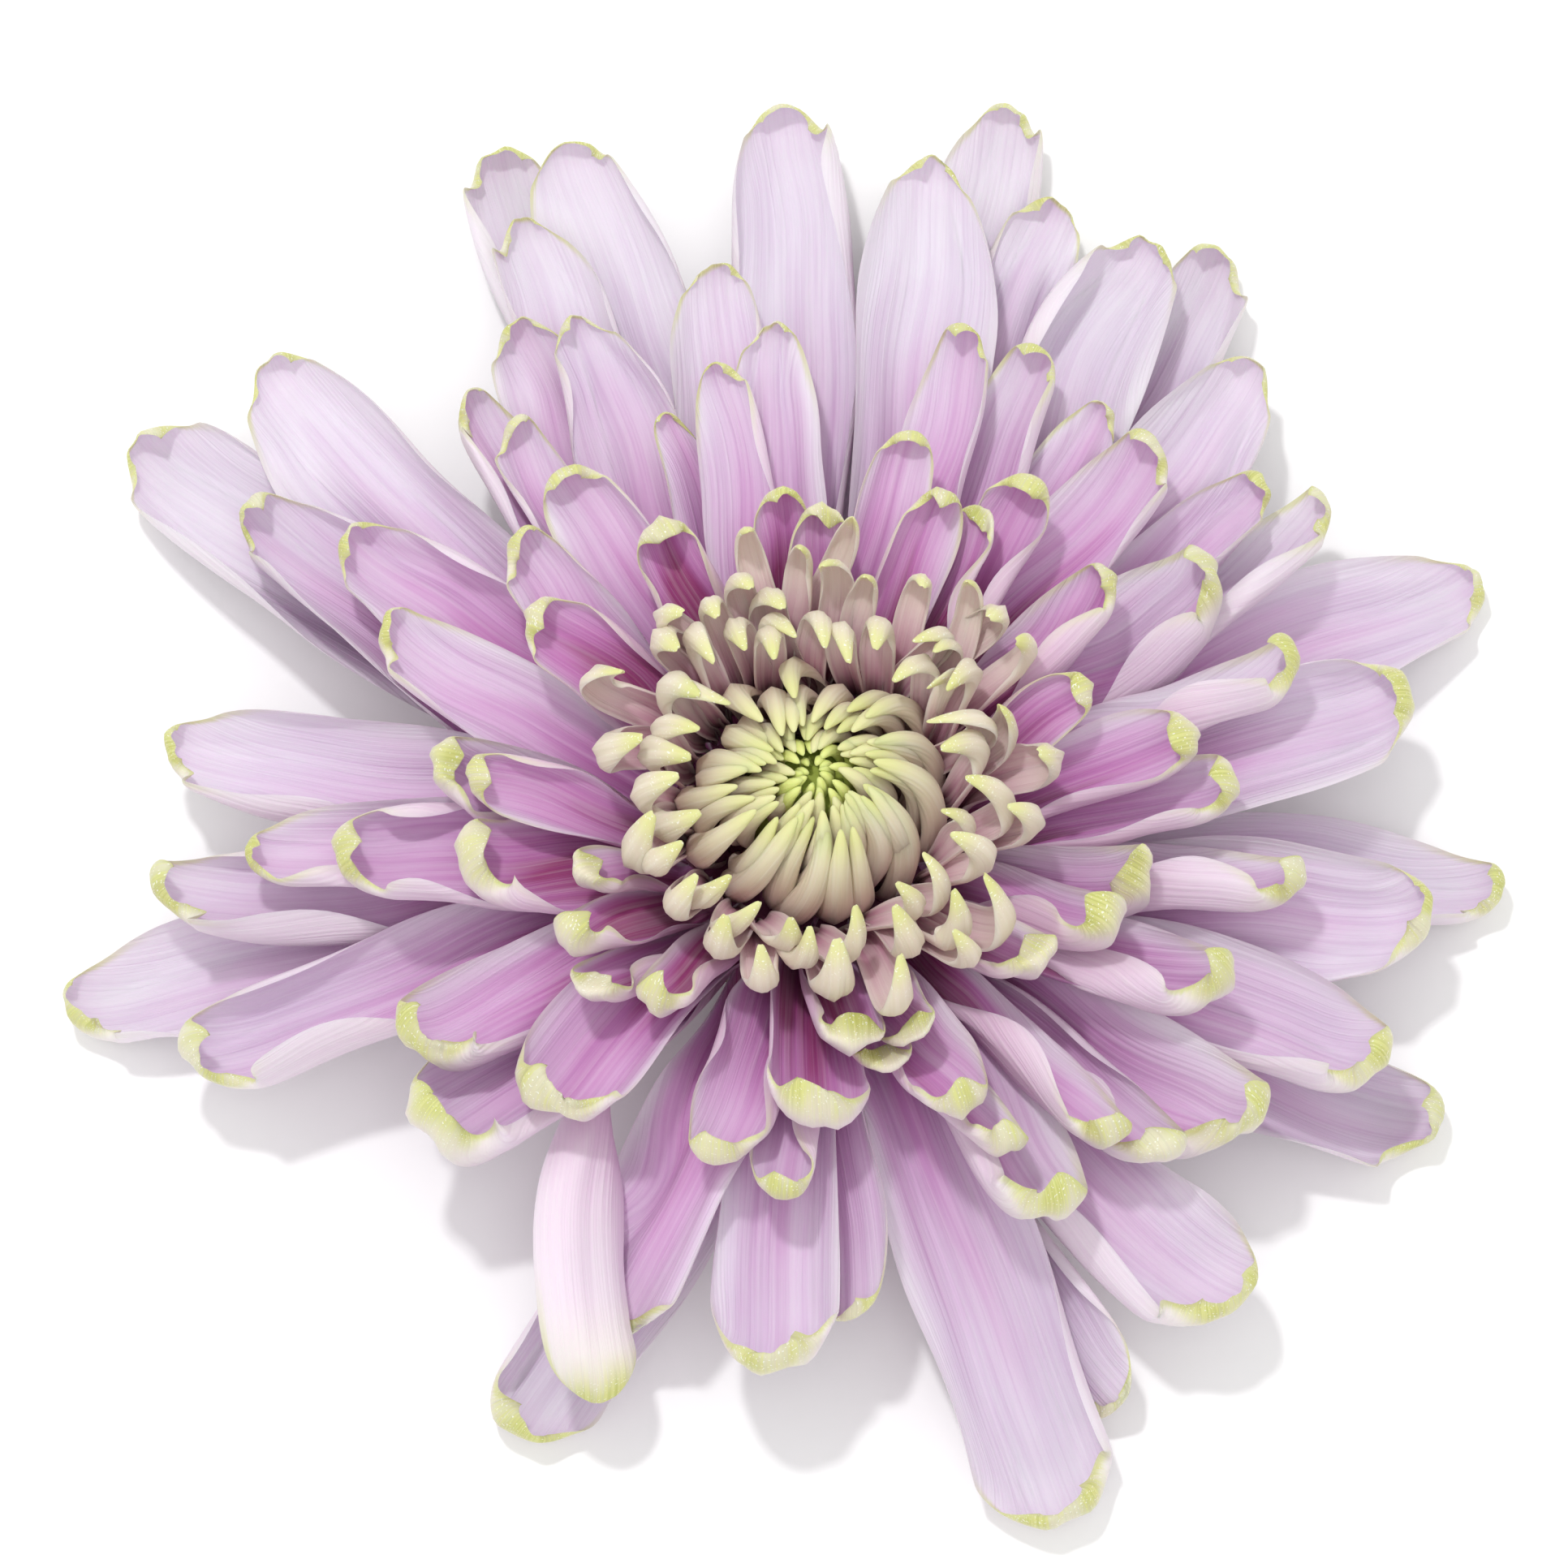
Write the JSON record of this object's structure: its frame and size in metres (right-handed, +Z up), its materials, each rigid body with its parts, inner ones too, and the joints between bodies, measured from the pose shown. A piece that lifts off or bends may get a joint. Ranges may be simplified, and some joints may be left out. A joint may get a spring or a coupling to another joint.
{
  "type": "chrysanthemum bloom",
  "caption": "Large lilac chrysanthemum bloom with trough-shaped ray florets, hooked cream florets round an incurved centre, a green involucre and a short stub of stalk.",
  "frame": {"origin": "on the surface the bloom lies on, under the middle of its outline", "axes": "+Z up, out of the face of the bloom; -Y towards the viewer of the picture; +X to the viewer's right"},
  "size_m": [0.1304, 0.1388, 0.0347],
  "materials": {
    "ray_florets": "soft lilac petal, paler at the edges and deeper towards the middle of the bloom",
    "centre_florets": "cream petal with mauve bases and yellow-green tips",
    "eye_florets": "yellow-green unopened petals",
    "involucre": "matt green bracts",
    "stem": "matt green stalk with a pale cut end"
  },
  "bodies": {
    "root": {"ray_florets": "ray_florets", "centre_florets": "centre_florets", "eye_florets": "eye_florets", "involucre": "involucre", "stem": "stem"}
  },
  "joints": []
}
